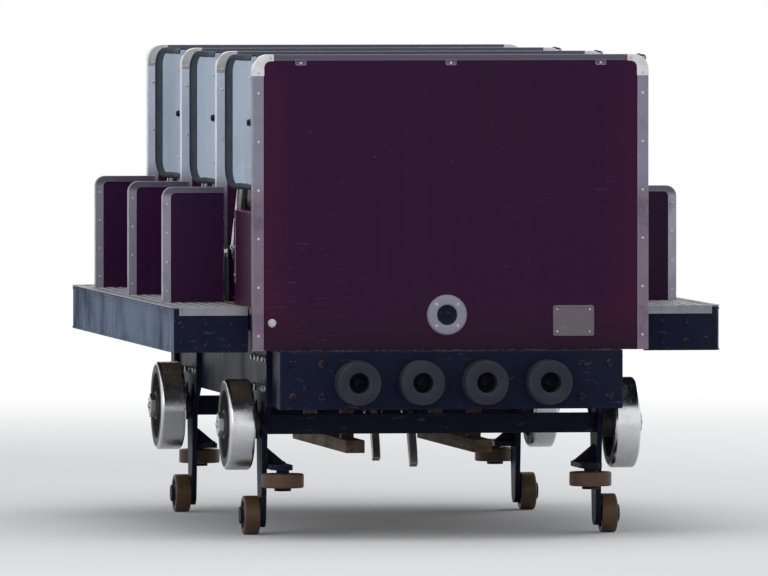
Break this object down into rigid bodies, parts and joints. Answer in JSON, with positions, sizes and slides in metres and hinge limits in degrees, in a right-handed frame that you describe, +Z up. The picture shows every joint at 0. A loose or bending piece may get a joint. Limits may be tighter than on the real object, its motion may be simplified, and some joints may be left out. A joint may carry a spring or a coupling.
{
  "type": "roller coaster car for a wooden track",
  "caption": "Open roller coaster car with three two-seat benches, upright back boards, side running boards, lap bars and wheel sets that hold the rail from three sides.",
  "frame": {"origin": "on the ground, under the middle of the whole length and width, with the car standing on its four up-stop wheels; the rail's top is at +Z 0.200 m", "axes": "+Y forward along the track, +Z up, -X to the riders' left"},
  "size_m": [1.7, 2.923, 1.4845],
  "materials": {
    "maroon_board": "gloss paint on plywood",
    "bright_edging": "satin",
    "pale_panel": "satin paint",
    "tread_plate": "worn tread plate",
    "dark_frame": "dark satin paint",
    "machined_steel": "worn bare steel",
    "wheel_steel": "polished tread",
    "wheel_tread": "matt",
    "seat_vinyl": "grained vinyl",
    "deck_timber": "worn",
    "buffer_rubber": "matt"
  },
  "bodies": {
    "car_body": {"rear_board": "maroon_board", "middle_board": "maroon_board", "forward_board": "maroon_board", "front_board": "maroon_board", "board_edging": "bright_edging", "side_ears": "pale_panel", "leg_guards": "maroon_board", "guard_edging": "bright_edging", "seat_boxes": "maroon_board", "seat_cushions": "seat_vinyl", "back_pads": "seat_vinyl", "floor_panel": "deck_timber", "running_board_left": "tread_plate", "running_board_right": "tread_plate", "side_fascias": "pale_panel", "side_sills": "dark_frame", "cross_members": "dark_frame", "rear_beam": "dark_frame", "front_beam": "dark_frame", "buffers": "buffer_rubber", "wheel_carriers": "dark_frame", "rear_axle": "machined_steel", "front_axle": "machined_steel", "brake_runners": "deck_timber", "dog_hangers": "dark_frame", "lap_bar_brackets": "dark_frame"},
    "rear_lap_bar": {"lap_bar_rear": "machined_steel"},
    "middle_lap_bar": {"lap_bar_middle": "machined_steel"},
    "front_lap_bar": {"lap_bar_front": "machined_steel"},
    "rear_left_road_wheel": {"road_wheel_rear_left": "wheel_steel"},
    "rear_right_road_wheel": {"road_wheel_rear_right": "wheel_steel"},
    "front_left_road_wheel": {"road_wheel_front_left": "wheel_steel"},
    "front_right_road_wheel": {"road_wheel_front_right": "wheel_steel"},
    "rear_left_guide_wheel": {"guide_wheel_rear_left": "wheel_tread"},
    "rear_right_guide_wheel": {"guide_wheel_rear_right": "wheel_tread"},
    "front_left_guide_wheel": {"guide_wheel_front_left": "wheel_tread"},
    "front_right_guide_wheel": {"guide_wheel_front_right": "wheel_tread"},
    "rear_left_upstop_wheel": {"upstop_wheel_rear_left": "wheel_tread"},
    "rear_right_upstop_wheel": {"upstop_wheel_rear_right": "wheel_tread"},
    "front_left_upstop_wheel": {"upstop_wheel_front_left": "wheel_tread"},
    "front_right_upstop_wheel": {"upstop_wheel_front_right": "wheel_tread"},
    "drawbar": {"drawbar": "machined_steel"},
    "chain_dog": {"chain_dog": "machined_steel"},
    "rollback_dog": {"rollback_dog": "machined_steel"}
  },
  "joints": [
    {"name": "rear_lap_bar_hinge", "type": "hinge", "parent": "car_body", "child": "rear_lap_bar", "pos_m": [0, -0.6165, 0.86], "axis": [-1, 0, 0], "range_deg": [0, 38]},
    {"name": "middle_lap_bar_hinge", "type": "hinge", "parent": "car_body", "child": "middle_lap_bar", "pos_m": [0, 0.1835, 0.86], "axis": [-1, 0, 0], "range_deg": [0, 38]},
    {"name": "front_lap_bar_hinge", "type": "hinge", "parent": "car_body", "child": "front_lap_bar", "pos_m": [0, 0.9835, 0.86], "axis": [-1, 0, 0], "range_deg": [0, 38]},
    {"name": "rear_left_road_wheel_spin", "type": "hinge", "parent": "car_body", "child": "rear_left_road_wheel", "pos_m": [-0.6, -0.9365, 0.34], "axis": [1, 0, 0], "continuous": true},
    {"name": "rear_right_road_wheel_spin", "type": "hinge", "parent": "car_body", "child": "rear_right_road_wheel", "pos_m": [0.6, -0.9365, 0.34], "axis": [1, 0, 0], "continuous": true},
    {"name": "front_left_road_wheel_spin", "type": "hinge", "parent": "car_body", "child": "front_left_road_wheel", "pos_m": [-0.6, 0.6335, 0.34], "axis": [1, 0, 0], "continuous": true},
    {"name": "front_right_road_wheel_spin", "type": "hinge", "parent": "car_body", "child": "front_right_road_wheel", "pos_m": [0.6, 0.6335, 0.34], "axis": [1, 0, 0], "continuous": true},
    {"name": "rear_left_guide_wheel_spin", "type": "hinge", "parent": "car_body", "child": "rear_left_guide_wheel", "pos_m": [-0.479, -1.0865, 0.172], "axis": [0, 0, 1], "continuous": true},
    {"name": "rear_right_guide_wheel_spin", "type": "hinge", "parent": "car_body", "child": "rear_right_guide_wheel", "pos_m": [0.479, -1.0865, 0.172], "axis": [0, 0, 1], "continuous": true},
    {"name": "front_left_guide_wheel_spin", "type": "hinge", "parent": "car_body", "child": "front_left_guide_wheel", "pos_m": [-0.479, 0.7835, 0.172], "axis": [0, 0, 1], "continuous": true},
    {"name": "front_right_guide_wheel_spin", "type": "hinge", "parent": "car_body", "child": "front_right_guide_wheel", "pos_m": [0.479, 0.7835, 0.172], "axis": [0, 0, 1], "continuous": true},
    {"name": "rear_left_upstop_wheel_spin", "type": "hinge", "parent": "car_body", "child": "rear_left_upstop_wheel", "pos_m": [-0.558, -0.9365, 0.06], "axis": [1, 0, 0], "continuous": true},
    {"name": "rear_right_upstop_wheel_spin", "type": "hinge", "parent": "car_body", "child": "rear_right_upstop_wheel", "pos_m": [0.558, -0.9365, 0.06], "axis": [1, 0, 0], "continuous": true},
    {"name": "front_left_upstop_wheel_spin", "type": "hinge", "parent": "car_body", "child": "front_left_upstop_wheel", "pos_m": [-0.558, 0.6335, 0.06], "axis": [1, 0, 0], "continuous": true},
    {"name": "front_right_upstop_wheel_spin", "type": "hinge", "parent": "car_body", "child": "front_right_upstop_wheel", "pos_m": [0.558, 0.6335, 0.06], "axis": [1, 0, 0], "continuous": true},
    {"name": "drawbar_swing", "type": "hinge", "parent": "car_body", "child": "drawbar", "pos_m": [0, 1.1285, 0.483], "axis": [0, 0, 1], "range_deg": [-20, 20]},
    {"name": "chain_dog_hinge", "type": "hinge", "parent": "car_body", "child": "chain_dog", "pos_m": [0, 0.241, 0.345], "axis": [-1, 0, 0], "range_deg": [0, 30]},
    {"name": "rollback_dog_hinge", "type": "hinge", "parent": "car_body", "child": "rollback_dog", "pos_m": [0, -0.544, 0.345], "axis": [-1, 0, 0], "range_deg": [0, 30]}
  ]
}
